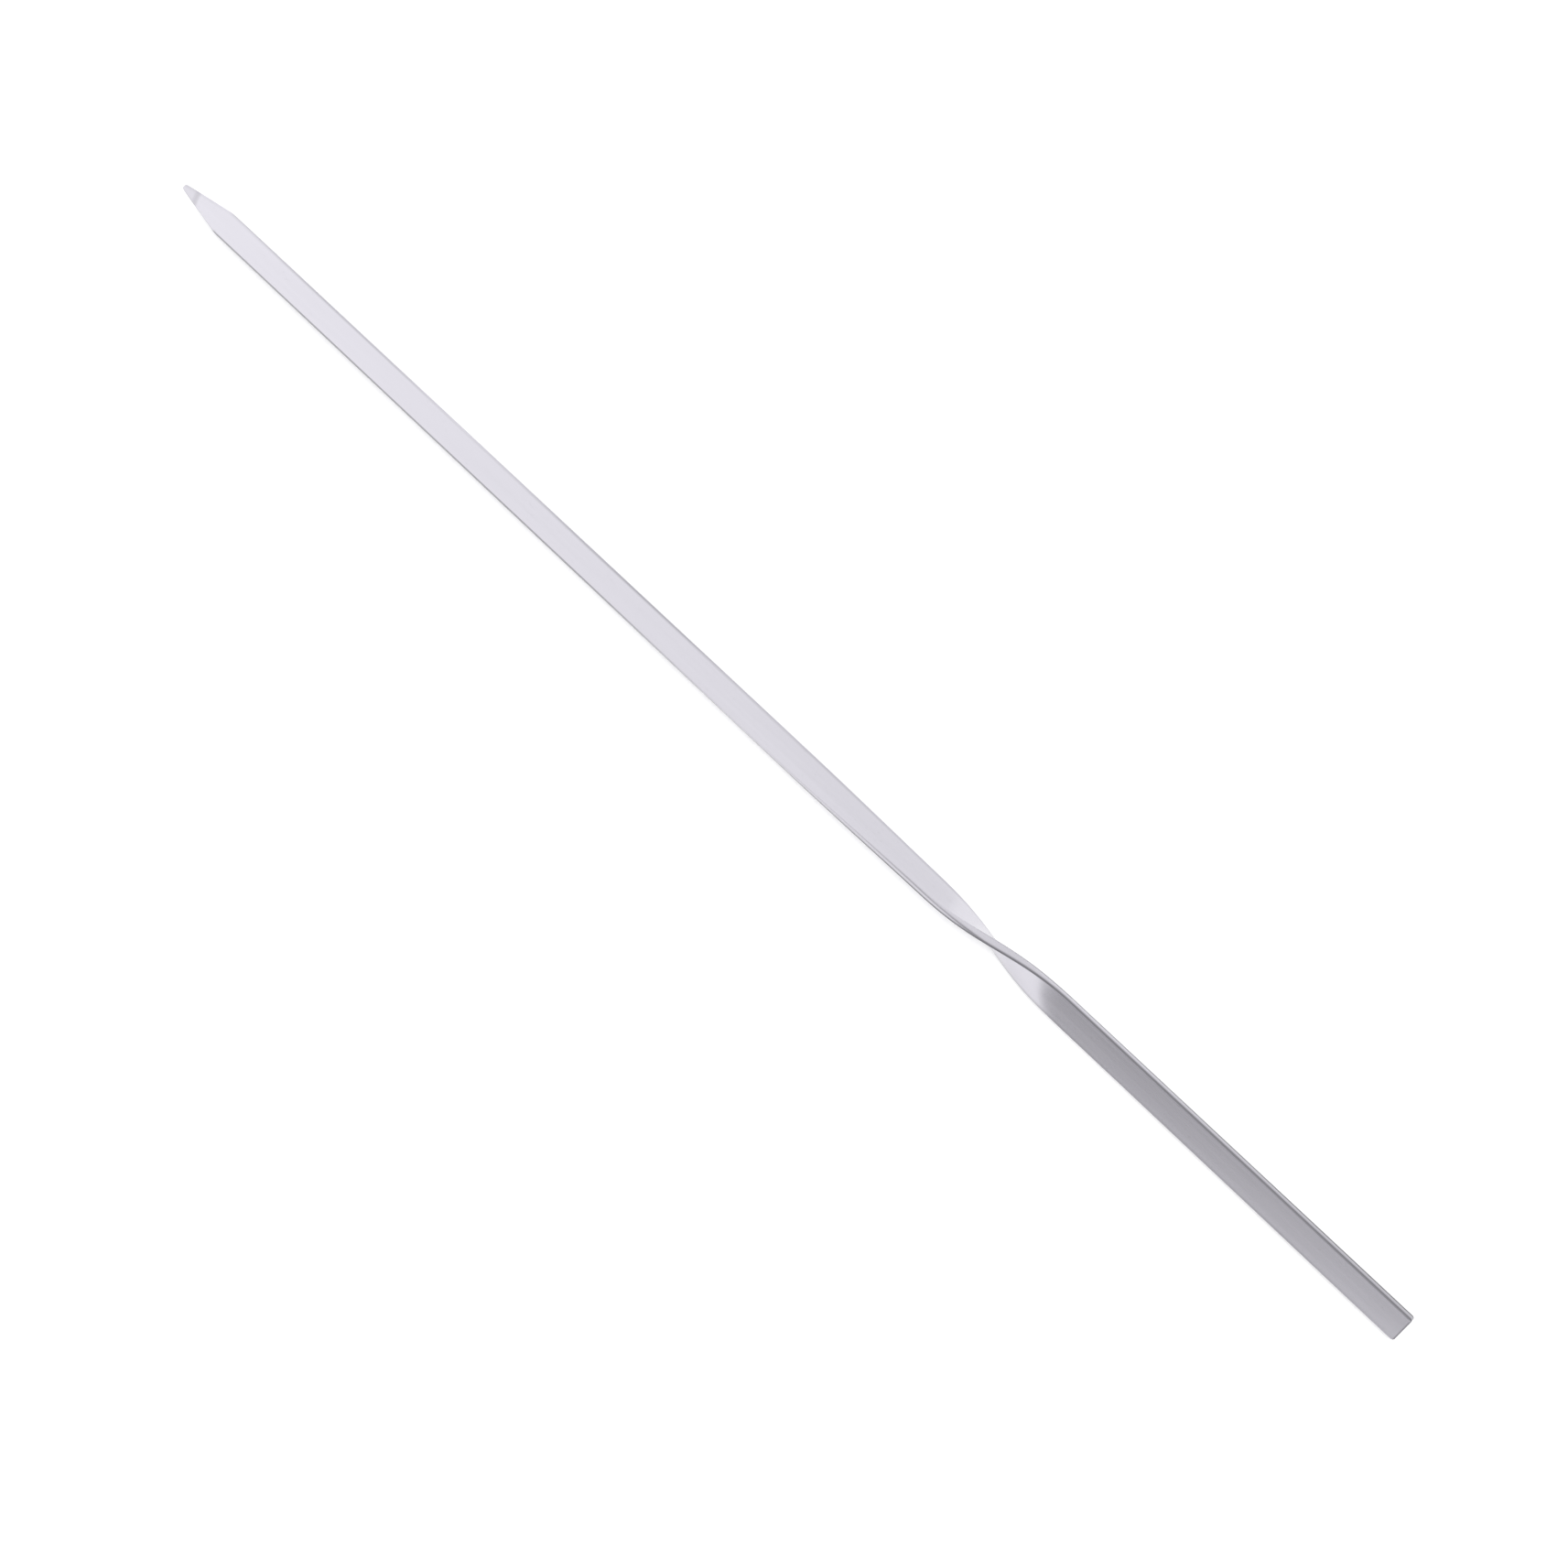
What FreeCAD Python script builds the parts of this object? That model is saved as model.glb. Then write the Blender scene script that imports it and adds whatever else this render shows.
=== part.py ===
import FreeCAD, Part
import math
import os

# Kebab skewer: one flat steel strip, cut to a point, turned at the neck, square at the handle end.
# Blade, neck and handle are stretches of the same strip: they meet flat, with no joint between them.
# X runs along the strip, with the point at its +X end. The blade lies flat, its wide faces up and down.
# The origin is the middle of the strip's length, on its centre line. All lengths are in millimetres.

# Strip stock
strip_width = 5.0
strip_thickness = 1.5
edge_radius = 0.2

# Lengths along the strip, from the point to the handle end
blade_length = 155.0
lead_in_length = 50.0
main_turn_length = 30.0
turn_overlap = 5.0
handle_length = 70.0

# Turn of the neck, in degrees about the strip's own centre line
lead_in_angle = 32.0
main_turn_angle = 104.0
section_count = 31

# Point
point_length = 12.0
nose_width = 1.0
nose_corner_radius = 0.35
shoulder_radius = 6.0
nose_thickness = 0.8
ground_length = 3.8
grinding_slant = 30.0
cut_overrun = 1.0

# Handle end
handle_corner_radius = 0.5

neck_length = lead_in_length + main_turn_length - turn_overlap
strip_length = blade_length + neck_length + handle_length
point_x = strip_length / 2
neck_x = point_x - blade_length
handle_x = neck_x - neck_length
handle_end_x = -strip_length / 2
along = FreeCAD.Vector(1, 0, 0)
across = FreeCAD.Vector(0, 1, 0)
up = FreeCAD.Vector(0, 0, 1)
centre = FreeCAD.Vector(0, 0, 0)


def rounded_corner(before, corner, after, radius):
    """Arc that rounds one corner of an outline."""
    back = (before - corner).normalize()
    ahead = (after - corner).normalize()
    half_angle = back.getAngle(ahead) / 2
    setback = radius / math.tan(half_angle)
    middle_of_corner = (back + ahead).normalize()
    arc_centre = corner + middle_of_corner * (radius / math.sin(half_angle))
    start = corner + back * setback
    end = corner + ahead * setback
    return Part.Arc(start, arc_centre - middle_of_corner * radius, end), start, end


def outline(corners):
    """Closed outline through (point, radius) corners. A corner with no radius stays sharp."""
    edges = []
    starts = []
    ends = []
    arcs = []
    count = len(corners)
    for index, (corner, radius) in enumerate(corners):
        if radius == 0:
            arcs.append(None)
            starts.append(corner)
            ends.append(corner)
            continue
        before = corners[index - 1][0]
        after = corners[(index + 1) % count][0]
        arc, start, end = rounded_corner(before, corner, after, radius)
        arcs.append(arc)
        starts.append(start)
        ends.append(end)
    for index in range(count):
        if arcs[index] is not None:
            edges.append(arcs[index].toShape())
        edges.append(Part.makeLine(ends[index], starts[(index + 1) % count]))
    return Part.Wire(edges)


def strip_section(distance_in_neck):
    """Cross-section of the strip, turned as it is at this distance into the neck."""
    half_width = strip_width / 2
    half_thickness = strip_thickness / 2
    x = neck_x - distance_in_neck
    corners = []
    for side, level in ((-1, -1), (1, -1), (1, 1), (-1, 1)):
        corner = FreeCAD.Vector(x, side * half_width, level * half_thickness)
        corners.append((corner, edge_radius))
    section = outline(corners)
    section.rotate(centre, along, turn_at(distance_in_neck))
    return section


def ease(share):
    """Smooth step from 0 to 1, level at both ends."""
    held = min(max(share, 0.0), 1.0)
    return held * held * (3 - 2 * held)


def turn_at(distance_in_neck):
    """Angle of the section: a slow lead-in first, then most of the turn in a short stretch."""
    main_turn_start = lead_in_length - turn_overlap
    lead_in = lead_in_angle * ease(distance_in_neck / lead_in_length)
    main_turn = main_turn_angle * ease((distance_in_neck - main_turn_start) / main_turn_length)
    return lead_in + main_turn


def plate(corners, inner_x):
    """Flat length of strip cut to an outline, its edges rounded except where it runs into the neck."""
    face = Part.Face(outline(corners))
    face.translate(up * (-strip_thickness / 2))
    solid = face.extrude(up * strip_thickness)
    rim = []
    for edge in solid.Edges:
        box = edge.BoundBox
        level = box.ZLength < edge_radius / 2
        at_neck = abs(box.Center.x - inner_x) < edge_radius and box.XLength < edge_radius
        if level and not at_neck:
            rim.append(edge)
    return solid.makeFillet(edge_radius, rim)


def make_blade():
    """Blade: parallel edges, then a straight taper to a small blunt nose."""
    shoulder_x = point_x - point_length
    half_width = strip_width / 2
    half_nose = nose_width / 2
    blade = plate([
        (FreeCAD.Vector(neck_x, -half_width, 0), 0),
        (FreeCAD.Vector(shoulder_x, -half_width, 0), shoulder_radius),
        (FreeCAD.Vector(point_x, -half_nose, 0), nose_corner_radius),
        (FreeCAD.Vector(point_x, half_nose, 0), nose_corner_radius),
        (FreeCAD.Vector(shoulder_x, half_width, 0), shoulder_radius),
        (FreeCAD.Vector(neck_x, half_width, 0), 0),
    ], neck_x)
    for side in (1, -1):
        blade = blade.cut(ground_off(side))
    return blade


def ground_off(side):
    """Wedge of steel ground off one wide face behind the nose, at a slant across the strip."""
    half_thickness = strip_thickness / 2
    ground_depth = half_thickness - nose_thickness / 2
    slope = ground_depth / (ground_length * math.cos(math.radians(grinding_slant)))
    ground_x = point_x - ground_length
    start_x = ground_x - cut_overrun
    end_x = point_x + cut_overrun
    start = FreeCAD.Vector(start_x, -strip_width, half_thickness + slope * cut_overrun)
    end = FreeCAD.Vector(end_x, -strip_width, half_thickness - slope * (ground_length + cut_overrun))
    top = half_thickness + cut_overrun
    above_end = FreeCAD.Vector(end_x, -strip_width, top)
    above_start = FreeCAD.Vector(start_x, -strip_width, top)
    profile = Part.makePolygon([start, end, above_end, above_start, start])
    wedge = Part.Face(profile).extrude(across * (2 * strip_width))
    wedge.rotate(along * ground_x, up, grinding_slant)
    if side < 0:
        wedge.rotate(centre, along, 180)
    return wedge


def make_neck():
    """Neck: the strip's section carried along the centre line while it turns."""
    sections = []
    for index in range(section_count):
        distance_in_neck = neck_length * index / (section_count - 1)
        sections.append(strip_section(distance_in_neck))
    return Part.makeLoft(sections, True, False)


def make_handle():
    """Handle: the plain strip past the neck, cut square, its two corners rounded."""
    half_width = strip_width / 2
    handle = plate([
        (FreeCAD.Vector(handle_end_x, -half_width, 0), handle_corner_radius),
        (FreeCAD.Vector(handle_x, -half_width, 0), 0),
        (FreeCAD.Vector(handle_x, half_width, 0), 0),
        (FreeCAD.Vector(handle_end_x, half_width, 0), handle_corner_radius),
    ], handle_x)
    handle.rotate(centre, along, turn_at(neck_length))
    return handle


def stretches():
    """The three stretches of the one strip, each ending flat against the next."""
    return {
        "blade": make_blade(),
        "twisted_neck": make_neck(),
        "handle": make_handle(),
    }


os.makedirs("parts", exist_ok=True)
for name, shape in stretches().items():
    stretch = shape.Solids[0]
    stretch.exportStep("parts/" + name + ".step")
    print(name, "valid", stretch.isValid(), "volume", round(stretch.Volume, 1))
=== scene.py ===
import math

import bmesh
import bpy
from mathutils import Matrix, Quaternion, Vector


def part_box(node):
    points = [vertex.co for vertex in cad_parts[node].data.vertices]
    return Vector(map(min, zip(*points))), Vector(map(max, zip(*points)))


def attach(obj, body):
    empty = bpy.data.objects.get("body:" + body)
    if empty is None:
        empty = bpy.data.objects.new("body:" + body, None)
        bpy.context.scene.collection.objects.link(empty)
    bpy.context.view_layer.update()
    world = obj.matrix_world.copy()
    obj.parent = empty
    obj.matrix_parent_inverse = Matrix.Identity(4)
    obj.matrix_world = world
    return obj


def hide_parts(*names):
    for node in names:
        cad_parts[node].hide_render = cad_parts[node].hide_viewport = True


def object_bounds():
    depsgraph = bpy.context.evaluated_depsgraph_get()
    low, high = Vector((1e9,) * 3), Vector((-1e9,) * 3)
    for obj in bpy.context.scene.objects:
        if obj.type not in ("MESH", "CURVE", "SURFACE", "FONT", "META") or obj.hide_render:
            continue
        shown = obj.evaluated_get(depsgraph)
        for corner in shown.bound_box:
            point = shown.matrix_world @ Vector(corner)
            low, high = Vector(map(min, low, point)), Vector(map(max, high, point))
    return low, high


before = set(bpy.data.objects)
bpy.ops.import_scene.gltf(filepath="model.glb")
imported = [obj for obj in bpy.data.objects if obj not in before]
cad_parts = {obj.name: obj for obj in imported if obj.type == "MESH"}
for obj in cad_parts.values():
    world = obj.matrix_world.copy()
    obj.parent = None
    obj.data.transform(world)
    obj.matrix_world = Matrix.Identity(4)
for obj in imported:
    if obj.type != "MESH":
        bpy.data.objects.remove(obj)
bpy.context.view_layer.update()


# Blade: the flat front of one strip of bright stainless steel, slit from sheet and cut to a point.
# Its slit edges are burnished on the upper part and torn on the lower part, and slightly rounded.
# The nose is ground thinner from both faces. The neck and the handle share the blade's finish.

MM = 0.001
blade_low, blade_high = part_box("blade")
strip_width = blade_high.y - blade_low.y
strip_thickness = blade_high.z - blade_low.z
blade_end_x = blade_high.x
neck_start_x = blade_low.x
handle_end_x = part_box("handle")[0].x
edge_radius = 0.2 * MM
edge_steps = 4
corner_steps = 6
flat_margin = 0.05 * MM
point_length = 12.0 * MM
shoulder_radius = 6.0 * MM
nose_width = 1.0 * MM
nose_thickness = 0.8 * MM
nose_corner_radius = 0.35 * MM
ground_length = 3.8 * MM
grinding_slant = math.radians(30.0)
handle_corner_radius = 0.5 * MM
joint_tolerance = 0.02 * MM
cut_tolerance = 0.00001 * MM

half_width = strip_width / 2
half_thickness = strip_thickness / 2
half_nose = nose_width / 2
flat_reach = half_width - edge_radius - flat_margin
flat_level = half_thickness - edge_radius - flat_margin
taper_angle = math.atan((half_width - half_nose) / point_length)
shoulder_x = blade_end_x - point_length

# Colours of the polished steel and of the torn steel; the torn one is partly duller torn steel and
# partly a painted dark reflection
steel_colour = (0.575, 0.564, 0.606, 1.0)
torn_and_shaded_colour = (0.2, 0.196, 0.212, 1.0)

# Grain and streaks drawn out by rolling, and small scattered marks
grain_width = 0.22 * MM
grain_length = 14.0 * MM
grain_height = 0.0002 * MM
streak_width = 0.8 * MM
streak_length = 45.0 * MM
mark_size = 0.5 * MM
mark_starts = 0.68
mark_full = 0.76

# Slit edge: the torn band, painted shade on the rims and along the outline, and a painted highlight on
# the rounded edges
torn_height = 0.6 * MM
torn_core = 0.02
burr_width = 0.2 * MM
burr_inset = 0.08 * MM
far_burr_offset = 0.12 * MM
rim_height = 0.65 * MM
rim_core = 0.1
rim_width = 0.03 * MM
slit_width = 0.1 * MM
inner_rim_starts = 0.1 * MM
inner_rim_ends = 0.75 * MM
painted_highlight_starts = 0.01 * MM
painted_highlight_full = 0.04 * MM
painted_highlight_fades = 0.12 * MM

# Where the look of the edges changes along the strip
taper_share = 0.35
taper_fade_ahead = 1.0 * MM
taper_fade_behind = 0.5 * MM
blade_fade_length = 40.0 * MM
handle_fade_starts = 60.0 * MM

# Ground face of the nose and a darker line across the strip behind it
ground_ahead = 0.1 * MM
ground_behind = 0.3 * MM
line_behind_ground_place = 0.25 * MM
line_behind_ground_width = 1.1 * MM

# How much each of these lightens or darkens the steel; those of the slit, rims and corner are painted
# shade and a painted highlight
plain_shade = 0.95
streak_lightens = 0.06
grain_lightens = 0.03
marks_darken = 0.05
slit_painted_dark = 0.1
slit_painted_dark_handle = 0.2
slit_painted_dark_blade = 0.45
rim_painted_dark = 0.6
rim_evenness = 0.5
line_darkens = 0.2
ground_darkens = 0.08
inner_rim_painted_dark = 0.3
inner_rim_contrast = 3.0
inner_rim_balance = 0.8
painted_highlight_lightens = 0.35

# How rough each of these makes the steel
plain_roughness = 0.2
streak_roughness = 0.05
grain_roughness = 0.03
torn_roughness = 0.2
ground_roughness = 0.08

# Slight crown of the faces and of the edges, which only guides what they mirror
face_crown = 0.065 * MM
edge_crown = 0.25 * MM


class Signal:
    """Output of one node in a finish. Sums that are written with signals add their Math nodes."""

    # Numbers of a Mix node's sockets for colours
    first_colour = 6
    second_colour = 7
    mixed_colour = 2

    def __init__(self, tree, socket=None):
        self.tree = tree
        self.socket = socket

    def node(self, kind, settings, sockets, output=0):
        """Adds a node: its settings first, then the values or the links of its sockets."""
        made = self.tree.nodes.new(kind)
        for name, value in settings.items():
            setattr(made, name, value)
        for name, value in sockets.items():
            if isinstance(value, Signal):
                self.tree.links.new(value.socket, made.inputs[name])
            else:
                made.inputs[name].default_value = value
        return Signal(self.tree, made.outputs[output])

    def maths(self, operation, first, second=0.0):
        return self.node("ShaderNodeMath", {"operation": operation}, {0: first, 1: second})

    def __add__(self, other):
        return self.maths("ADD", self, other)

    def __radd__(self, other):
        return self.maths("ADD", other, self)

    def __sub__(self, other):
        return self.maths("SUBTRACT", self, other)

    def __rsub__(self, other):
        return self.maths("SUBTRACT", other, self)

    def __mul__(self, other):
        return self.maths("MULTIPLY", self, other)

    def __rmul__(self, other):
        return self.maths("MULTIPLY", other, self)

    def __truediv__(self, other):
        return self.maths("DIVIDE", self, other)

    def __rtruediv__(self, other):
        return self.maths("DIVIDE", other, self)

    def __abs__(self):
        return self.maths("ABSOLUTE", self)

    def least(self, other):
        return self.maths("MINIMUM", self, other)

    def most(self, other):
        return self.maths("MAXIMUM", self, other)

    def root(self):
        return self.maths("SQRT", self)

    def axis(self, name):
        return self.node("ShaderNodeSeparateXYZ", {}, {"Vector": self}, name)

    def rising(self, low, high):
        """0 below low, 1 above high, and smooth between them."""
        sockets = {"Value": self, "From Min": low, "From Max": high}
        return self.node("ShaderNodeMapRange", {"interpolation_type": "SMOOTHSTEP"}, sockets)

    def colour_mix(self, factor, first, second, blend="MIX"):
        """Colour that goes from the first to the second as the factor goes from 0 to 1."""
        settings = {"data_type": "RGBA", "blend_type": blend}
        sockets = {"Factor": factor, self.first_colour: first, self.second_colour: second}
        return self.node("ShaderNodeMix", settings, sockets, self.mixed_colour)


def stainless_steel():
    """Bright rolled stainless steel, lightly brushed along the strip."""
    material = bpy.data.materials.new("stainless_steel")
    material.use_nodes = True
    tree = material.node_tree
    shader = tree.nodes["Principled BSDF"]
    shader.inputs["Metallic"].default_value = 1.0
    start = Signal(tree)
    place = start.node("ShaderNodeAttribute", {"attribute_name": "before_turn"}, {}, "Vector")
    along = place.axis("X")
    across = place.axis("Y")
    level = place.axis("Z")

    def drawn_out(width, length, detail):
        """Noise pulled out along the strip, as rolling and brushing leave it."""
        stretch = (1 / length, 1 / width, 1 / width)
        pulled = start.node("ShaderNodeVectorMath", {"operation": "MULTIPLY"},
                            {0: place, 1: stretch}, "Vector")
        return start.node("ShaderNodeTexNoise", {}, {"Vector": pulled, "Scale": 1.0, "Detail": detail})

    grain = drawn_out(grain_width, grain_length, detail=2.0)
    streak = drawn_out(streak_width, streak_length, detail=3.0)
    marks = drawn_out(mark_size, mark_size, detail=1.0).rising(mark_starts, mark_full)

    # How far a point lies inside the outline of the strip
    reach = (half_nose + (blade_end_x - along) * math.tan(taper_angle)).least(half_width)
    from_end = (along - handle_end_x).least(blade_end_x - along)
    past_end = (handle_end_x + handle_corner_radius - along).most(0.0)
    past_side = (abs(across) - (half_width - handle_corner_radius)).most(0.0)
    from_corner = handle_corner_radius - (past_end * past_end + past_side * past_side).root()
    from_side = (reach - abs(across)).least(from_end).least(from_corner)

    # Places along the strip
    behind_shoulder = (shoulder_x - along).rising(-taper_fade_ahead, taper_fade_behind)
    behind_taper = taper_share + (1.0 - taper_share) * behind_shoulder
    on_blade = along.rising(neck_start_x, neck_start_x + blade_fade_length)
    on_handle = (neck_start_x - along).rising(handle_fade_starts, neck_start_x - handle_end_x)

    # Slit edge
    from_burr = (reach - across).least(from_end).least(reach + across + far_burr_offset)
    above_burr = (level + half_thickness) / torn_height
    past_burr = (from_burr - burr_inset) / burr_width
    untorn = (above_burr * above_burr + past_burr * past_burr).rising(torn_core, 1.0)
    # The torn band's colour is partly torn steel and partly a painted dark reflection along the lower
    # edge
    torn = (1.0 - untorn) * behind_taper
    # Painted shade along the upper rim of the edge walls, on the handle only
    below_rim = (half_thickness - level) / rim_height
    past_rim = from_side / rim_width
    off_rim = (below_rim * below_rim + past_rim * past_rim).rising(rim_core, 1.0)
    rim = (1.0 - off_rim) * behind_taper
    # Painted shade on the edge walls, heaviest on the blade, for the dark surroundings they would
    # mirror
    slit = (1.0 - from_side.rising(0.0, slit_width)) * behind_taper
    # Painted shade along the far edge of the strip, darker or lighter with the streaks
    inner_rim = (1.0 - (reach + across).rising(inner_rim_starts, inner_rim_ends)) * behind_taper
    # Painted highlight along the rounded edges of the handle, in place of the lamps the steel doesn't
    # mirror
    painted_highlight_inside = 1.0 - from_side.rising(painted_highlight_fades, edge_radius)
    painted_corner_highlight = from_side.rising(painted_highlight_starts, painted_highlight_full) * painted_highlight_inside

    # Ground face of the nose
    slanted = across * level * (math.tan(grinding_slant) / half_thickness)
    past_line = along + slanted - (blade_end_x - ground_length)
    ground = past_line.rising(-ground_ahead, ground_behind)
    line_behind_ground = 1.0 - abs(past_line + line_behind_ground_place).rising(0.0, line_behind_ground_width)

    # Colour, with painted shade along the edges and a painted highlight on the handle's rounded edges
    slit_painted_shade = slit_painted_dark + slit_painted_dark_handle * on_handle + slit_painted_dark_blade * on_blade
    rim_painted_shade = rim_painted_dark * rim * on_handle * (rim_evenness + streak)
    inner_rim_painted_shade = inner_rim_painted_dark * inner_rim * (inner_rim_contrast * streak - inner_rim_balance)
    shade = plain_shade + streak_lightens * streak + grain_lightens * grain - marks_darken * marks
    shade = shade * (1.0 - slit * slit_painted_shade) * (1.0 - rim_painted_shade)
    shade = shade * (1.0 - line_darkens * line_behind_ground) * (1.0 - ground_darkens * ground)
    shade = shade * (1.0 - inner_rim_painted_shade) * (1.0 + painted_highlight_lightens * painted_corner_highlight * on_handle)
    colour = start.colour_mix(torn, steel_colour, torn_and_shaded_colour)
    tone = start.node("ShaderNodeCombineColor", {}, {"Red": shade, "Green": shade, "Blue": shade})
    toned = start.colour_mix(1.0, colour, tone, blend="MULTIPLY")

    # Roughness and relief
    roughness = plain_roughness + streak_roughness * streak + grain_roughness * grain
    roughness = roughness + torn_roughness * torn + ground_roughness * ground
    crown = across * across * (-face_crown / half_width / half_width)
    crown = crown + level * level * (-edge_crown / half_thickness / half_thickness)
    relief = crown + grain * grain_height
    bump = start.node("ShaderNodeBump", {}, {"Strength": 1.0, "Distance": 1.0, "Height": relief})
    for name, value in (("Base Color", toned), ("Roughness", roughness), ("Normal", bump)):
        tree.links.new(value.socket, shader.inputs[name])
    return material


def everything(mesh):
    """All points, edges and faces of a mesh."""
    return mesh.verts[:] + mesh.edges[:] + mesh.faces[:]


def split_at(mesh, place, direction):
    """Cuts every face of a mesh along a plane, and keeps both sides."""
    bmesh.ops.bisect_plane(mesh, geom=everything(mesh), plane_co=place, plane_no=direction,
                           dist=cut_tolerance)


def at_joint(mesh, x):
    """Edges that lie in the plane where one stretch of the strip meets the next."""
    in_plane = {point for point in mesh.verts if abs(point.co.x - x) < joint_tolerance}
    return [edge for edge in mesh.edges if in_plane.issuperset(edge.verts)]


def plate(corners, joint_x):
    """Flat strip cut to an outline of (x, y, setback) corners, its rim rounded except at the joint."""
    mesh = bmesh.new()
    points = [mesh.verts.new((x, y, -half_thickness)) for x, y, setback in corners]
    mesh.faces.new(points)
    for point, (x, y, setback) in zip(points, corners):
        if setback:
            bmesh.ops.bevel(mesh, geom=[point], offset=setback, segments=corner_steps, profile=0.5,
                            affect="VERTICES", material=-1)
    raised = bmesh.ops.extrude_face_region(mesh, geom=mesh.faces[:])["geom"]
    upper = [item for item in raised if isinstance(item, bmesh.types.BMVert)]
    bmesh.ops.translate(mesh, verts=upper, vec=(0, 0, strip_thickness))
    bmesh.ops.recalc_face_normals(mesh, faces=mesh.faces)
    inner = set(at_joint(mesh, joint_x))
    rim = [edge for edge in mesh.edges
           if edge not in inner and edge.verts[0].co.z * edge.verts[1].co.z > 0]
    bmesh.ops.bevel(mesh, geom=rim, offset=edge_radius, segments=edge_steps, profile=0.5,
                    affect="EDGES", material=-1, clamp_overlap=False)
    for level in (-flat_level, flat_level):
        split_at(mesh, (0, 0, level), (0, 0, 1))
    return mesh


def keep_place(mesh):
    """Notes where each point of the strip lies before the strip is turned."""
    before_turn = mesh.verts.layers.float_vector.new("before_turn")
    for point in mesh.verts:
        point[before_turn] = point.co


def finish_piece(mesh, name, hard_edges, node):
    """Makes a piece of a stretch of strip, smooth except at its hard edges, in place of its node."""
    bmesh.ops.recalc_face_normals(mesh, faces=mesh.faces)
    for face in mesh.faces:
        face.smooth = True
    for edge in hard_edges:
        edge.smooth = False
    data = bpy.data.meshes.new(name)
    mesh.to_mesh(data)
    mesh.free()
    data.materials.append(steel)
    piece = bpy.data.objects.new(name, data)
    bpy.context.collection.objects.link(piece)
    weighted = piece.modifiers.new("even_faces", "WEIGHTED_NORMAL")
    weighted.keep_sharp = True
    weighted.weight = 100
    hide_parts(node)
    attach(piece, "root")


steel = stainless_steel()
shoulder_setback = shoulder_radius * math.tan(taper_angle / 2)
nose_setback = nose_corner_radius * math.tan((math.pi / 2 - taper_angle) / 2)
blade_mesh = plate([
    (neck_start_x, -half_width, 0),
    (shoulder_x, -half_width, shoulder_setback),
    (blade_end_x, -half_nose, nose_setback),
    (blade_end_x, half_nose, nose_setback),
    (shoulder_x, half_width, shoulder_setback),
    (neck_start_x, half_width, 0),
], neck_start_x)
ground_slope = (strip_thickness - nose_thickness) / 2 / (ground_length * math.cos(grinding_slant))
ground_edges = []
for side in (1, -1):
    line_middle = Vector((blade_end_x - ground_length, 0, side * half_thickness))
    lean = Vector((math.cos(grinding_slant), side * math.sin(grinding_slant), 0)) * ground_slope
    outward = (lean + Vector((0, 0, side))).normalized()
    cut = bmesh.ops.bisect_plane(blade_mesh, geom=everything(blade_mesh), plane_co=line_middle,
                                 plane_no=outward, clear_outer=True, dist=cut_tolerance)
    open_edges = [item for item in cut["geom_cut"] if isinstance(item, bmesh.types.BMEdge)]
    facet = bmesh.ops.edgenet_fill(blade_mesh, edges=open_edges)["faces"]
    ground_edges += [edge for face in facet for edge in face.edges]
keep_place(blade_mesh)
blade_joint = at_joint(blade_mesh, neck_start_x)
finish_piece(blade_mesh, "blade_strip", blade_joint + ground_edges, "blade")


# Neck: the middle of the same steel strip, turned cold about its own centre line between two jaws.
# The turn starts slowly at the blade, and most of it is made in a short length before the handle.
# It runs into the blade and into the handle with nothing between them.

lead_in_length = 50.0 * MM
main_turn_length = 30.0 * MM
turn_overlap = 5.0 * MM
lead_in_angle = math.radians(32.0)
main_turn_angle = math.radians(104.0)
neck_rings = 150
face_steps = 5
neck_length = lead_in_length + main_turn_length - turn_overlap
handle_start_x = neck_start_x - neck_length


def ease(share):
    """Smooth step from 0 to 1, level at both ends."""
    held = min(max(share, 0.0), 1.0)
    return held * held * (3 - 2 * held)


def turn_at(x):
    """Angle of the strip about its centre line."""
    distance = neck_start_x - x
    lead_in = lead_in_angle * ease(distance / lead_in_length)
    main_turn = main_turn_angle * ease((distance - lead_in_length + turn_overlap) / main_turn_length)
    return lead_in + main_turn


def turn(mesh):
    """Turns every point of a flat strip as the strip is turned there."""
    for point in mesh.verts:
        point.co.rotate(Matrix.Rotation(turn_at(point.co.x), 3, "X"))


neck_mesh = bmesh.new()
section = [neck_mesh.verts.new((neck_start_x, side * half_width, level * half_thickness))
           for side, level in ((-1, -1), (1, -1), (1, 1), (-1, 1))]
neck_mesh.faces.new(section)
bmesh.ops.bevel(neck_mesh, geom=section, offset=edge_radius, segments=edge_steps, profile=0.5,
                affect="VERTICES", material=-1)
for step in range(face_steps + 1):
    split_at(neck_mesh, (0, flat_reach * (2 * step / face_steps - 1), 0), (0, 1, 0))
for level in (-flat_level, flat_level):
    split_at(neck_mesh, (0, 0, level), (0, 0, 1))
drawn = bmesh.ops.extrude_face_region(neck_mesh, geom=neck_mesh.faces[:])["geom"]
far = [item for item in drawn if isinstance(item, bmesh.types.BMVert)]
bmesh.ops.translate(neck_mesh, verts=far, vec=(-neck_length, 0, 0))
lengthwise = [edge for edge in neck_mesh.edges if edge.calc_length() > neck_length / 2]
bmesh.ops.subdivide_edges(neck_mesh, edges=lengthwise, cuts=neck_rings - 1, use_grid_fill=True)
keep_place(neck_mesh)
neck_ends = at_joint(neck_mesh, neck_start_x) + at_joint(neck_mesh, handle_start_x)
turn(neck_mesh)
finish_piece(neck_mesh, "neck_strip", neck_ends, "twisted_neck")


# Handle: the flat back of the same steel strip, which lies turned by the whole angle of the neck.
# It is cut off square from the strip, and its two corners are rounded.

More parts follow.
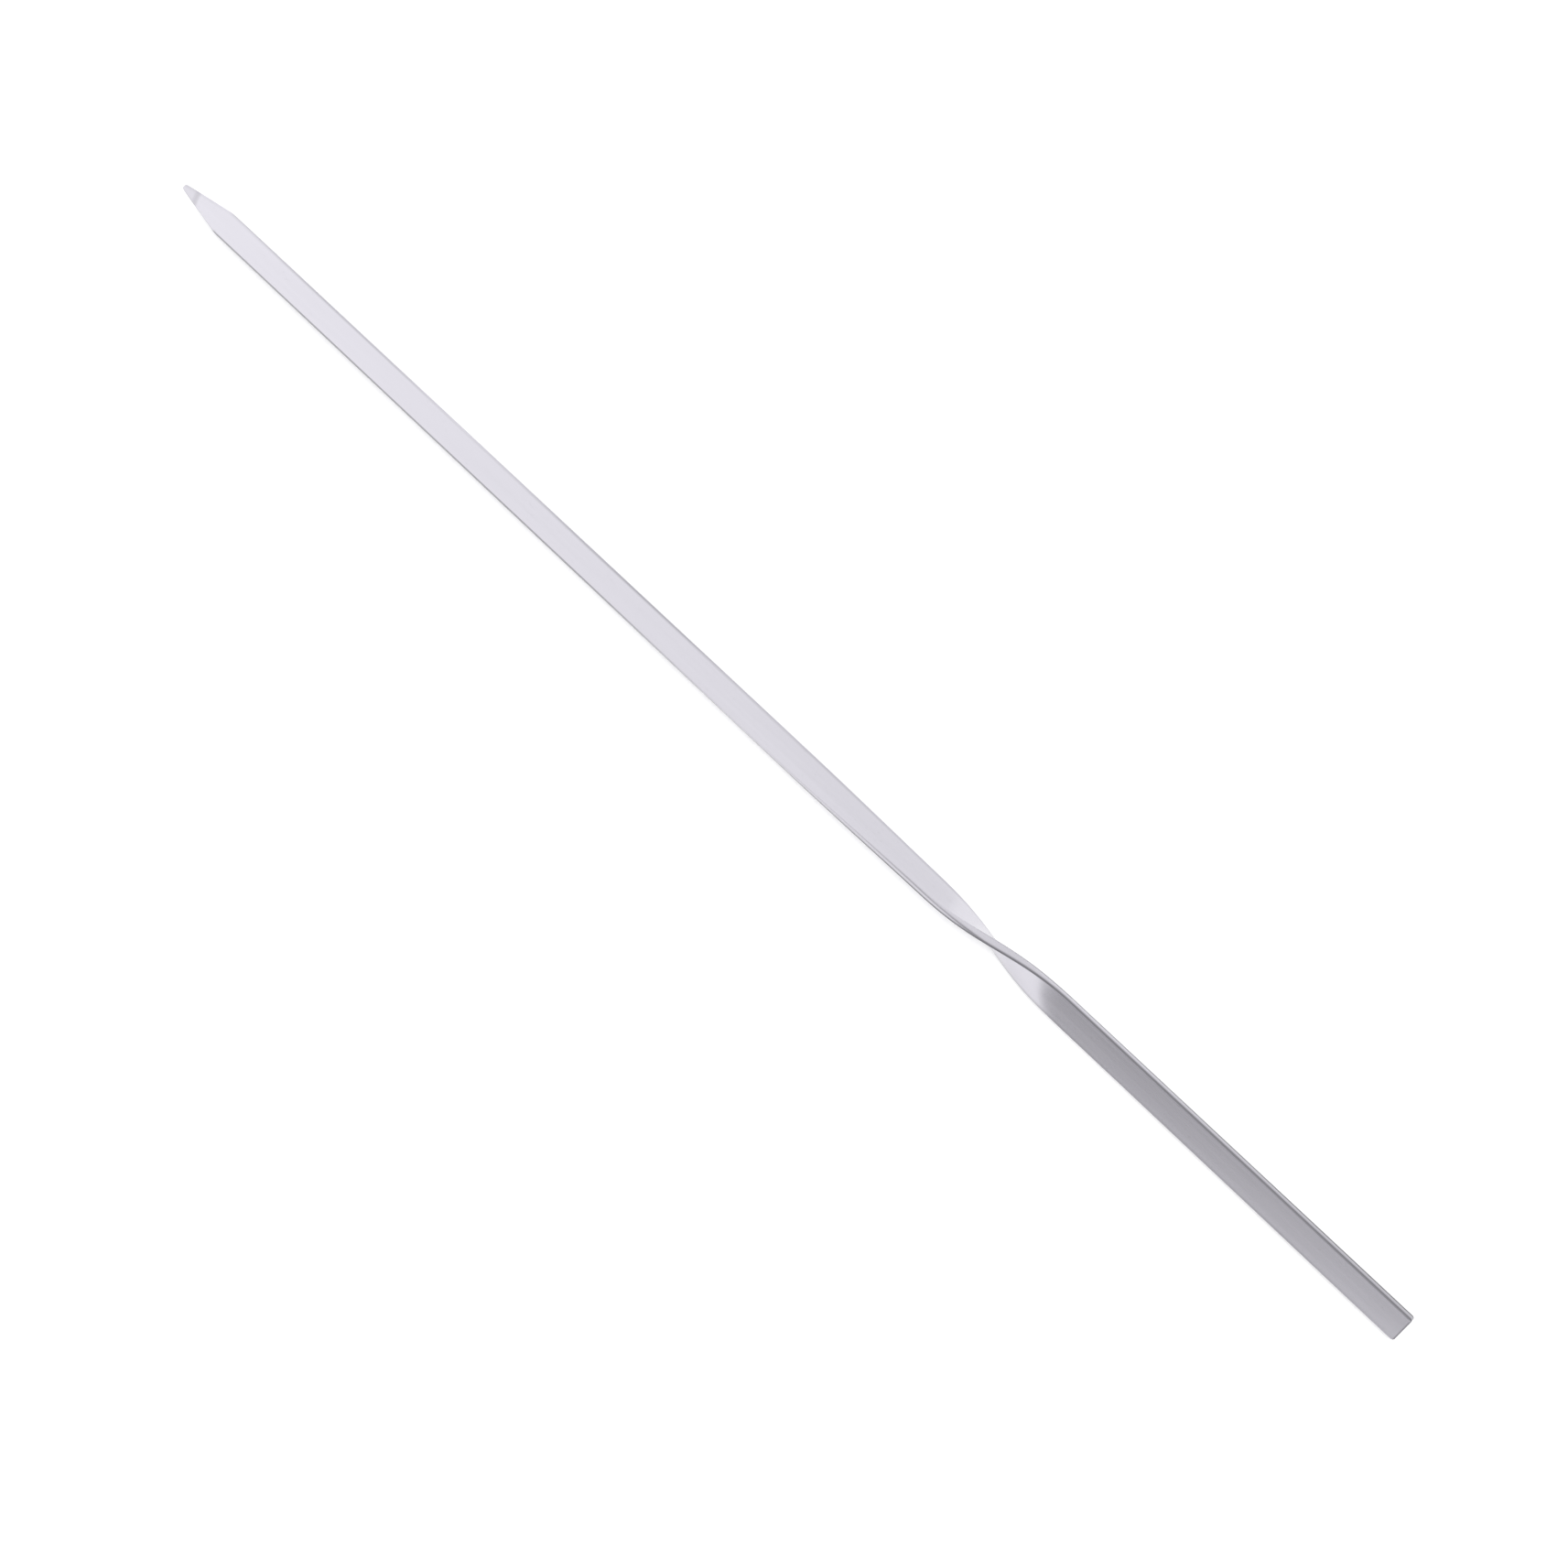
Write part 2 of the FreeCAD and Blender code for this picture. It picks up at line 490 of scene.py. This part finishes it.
handle_mesh = plate([
    (handle_end_x, -half_width, handle_corner_radius),
    (handle_start_x, -half_width, 0),
    (handle_start_x, half_width, 0),
    (handle_end_x, half_width, handle_corner_radius),
], handle_start_x)
keep_place(handle_mesh)
handle_joint = at_joint(handle_mesh, handle_start_x)
turn(handle_mesh)
finish_piece(handle_mesh, "handle_strip", handle_joint, "handle")


# Floor: a wide flat sheet of opal plastic, which the skewer lies on.
# It is lit a little from below, so it looks evenly white and the shadow on it stays faint.

floor_size = 6.0
floor_gap = 0.01 * MM
floor_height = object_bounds()[0].z - floor_gap
sheet_roughness = 0.9
sheet_gloss = 0.1
sheet_glow = 0.3
glow_colour = (1.0, 1.0, 1.0, 1.0)
darker_filler = (0.64, 0.64, 0.64, 1.0)
paler_filler = (0.66, 0.66, 0.66, 1.0)
clouds_per_metre = 40.0
cloud_detail = 3.0


def opal_sheet():
    """Opal plastic, lit from below a little, with the faint clouds of its filler."""
    material = bpy.data.materials.new("opal_sheet")
    material.use_nodes = True
    shader = material.node_tree.nodes["Principled BSDF"]
    shader.inputs["Roughness"].default_value = sheet_roughness
    shader.inputs["Specular IOR Level"].default_value = sheet_gloss
    shader.inputs["Emission Color"].default_value = glow_colour
    shader.inputs["Emission Strength"].default_value = sheet_glow
    start = Signal(material.node_tree)
    place = start.node("ShaderNodeTexCoord", {}, {}, "Object")
    clouds = {"Vector": place, "Scale": clouds_per_metre, "Detail": cloud_detail}
    cloud = start.node("ShaderNodeTexNoise", {}, clouds)
    colour = start.colour_mix(cloud, darker_filler, paler_filler)
    material.node_tree.links.new(colour.socket, shader.inputs["Base Color"])
    return material


floor_mesh = bmesh.new()
bmesh.ops.create_grid(floor_mesh, x_segments=1, y_segments=1, size=floor_size / 2)
bmesh.ops.translate(floor_mesh, verts=floor_mesh.verts, vec=(0, 0, floor_height))
floor_data = bpy.data.meshes.new("floor")
floor_mesh.to_mesh(floor_data)
floor_mesh.free()
floor_data.materials.append(opal_sheet())
floor = bpy.data.objects.new("floor", floor_data)
bpy.context.collection.objects.link(floor)


# Light: a white cloth tent over the table, which the steel mirrors. It is brightest past the point.
# Low down on one long side it is open to a darker room, which makes the handle look grey.
# Two square lamps high in the tent light the floor, and the steel doesn't mirror them.

tent_colour = (1.178, 1.174, 1.187, 1.0)
lit_colour = (1.57, 1.565, 1.582, 1.0)
opening_colour = (0.13, 0.128, 0.134, 1.0)
lit_side = Vector((0.99, 0.1, 0.1)).normalized()
lit_rim = 0.25
lit_middle = 1.0
opening_side = Vector((0.548, 0.727, 0.413)).normalized()
opening_rim = 0.545
opening_middle = 1.079
opening_top_starts = 0.35
opening_top_ends = 0.75
opening_flank_starts = 0.2
opening_flank_ends = 0.33

room = bpy.data.worlds.new("light_tent")
room.use_nodes = True
look = Signal(room.node_tree)
direction = look.node("ShaderNodeTexCoord", {}, {}, "Generated")


def towards(side, rim, middle):
    """0 outside a round patch of the tent and 1 in its middle."""
    facing = look.node("ShaderNodeVectorMath", {"operation": "DOT_PRODUCT"},
                       {0: direction, 1: side}, "Value")
    return facing.rising(rim, middle)


lit = towards(lit_side, lit_rim, lit_middle)
above = direction.axis("Z").rising(opening_top_starts, opening_top_ends)
beside = direction.axis("X").rising(opening_flank_starts, opening_flank_ends)
opening = towards(opening_side, opening_rim, opening_middle) * (1.0 - above) * (1.0 - beside)
wall = look.colour_mix(lit, tent_colour, lit_colour)
tent = look.colour_mix(opening, wall, opening_colour)
room.node_tree.links.new(tent.socket, room.node_tree.nodes["Background"].inputs["Color"])
scene = bpy.context.scene
scene.world = room


def square_lamp(name, place, target, size, power):
    """A flat soft lamp that faces the target and isn't mirrored in the steel."""
    data = bpy.data.lights.new(name, "AREA")
    data.shape = "SQUARE"
    data.size = size
    data.energy = power
    lamp = bpy.data.objects.new(name, data)
    bpy.context.collection.objects.link(lamp)
    lamp.location = place
    lamp.rotation_mode = "QUATERNION"
    lamp.rotation_quaternion = (Vector(place) - Vector(target)).to_track_quat("Z", "Y")
    lamp.visible_glossy = False


square_lamp("key_light", place=(-0.32, 0.05, 0.88), target=(0.0, 0.0, 0.0), size=0.6, power=3.2)
square_lamp("overhead_light", place=(0.22, 0.2, 0.84), target=(-0.04, 0.0, 0.0), size=0.2, power=0.3)
scene.view_settings.view_transform = "Standard"


# Camera: a full-frame camera with a normal lens, a little under 0.4 m from the skewer.
# It looks down steeply from the handle's end, and the strip crosses its picture at a slant.

sensor_width = 36.0
focal_length = 52.5
nearest_sight = 10.0 * MM
aim = Vector((-19.77, 4.43, 0.0)) * MM
distance = 383.36 * MM
azimuth = math.radians(149.46)
elevation = math.radians(69.10)
roll = math.radians(-14.38)

camera_data = bpy.data.cameras.new("camera")
camera_data.sensor_width = sensor_width
camera_data.lens = focal_length
camera_data.clip_start = nearest_sight
camera = bpy.data.objects.new("camera", camera_data)
bpy.context.collection.objects.link(camera)
over_floor = math.cos(elevation)
back = Vector((math.cos(azimuth) * over_floor, math.sin(azimuth) * over_floor, math.sin(elevation)))
camera.location = aim + back * distance
camera.rotation_mode = "QUATERNION"
camera.rotation_quaternion = back.to_track_quat("Z", "Y") @ Quaternion((0, 0, 1), roll)
scene.camera = camera
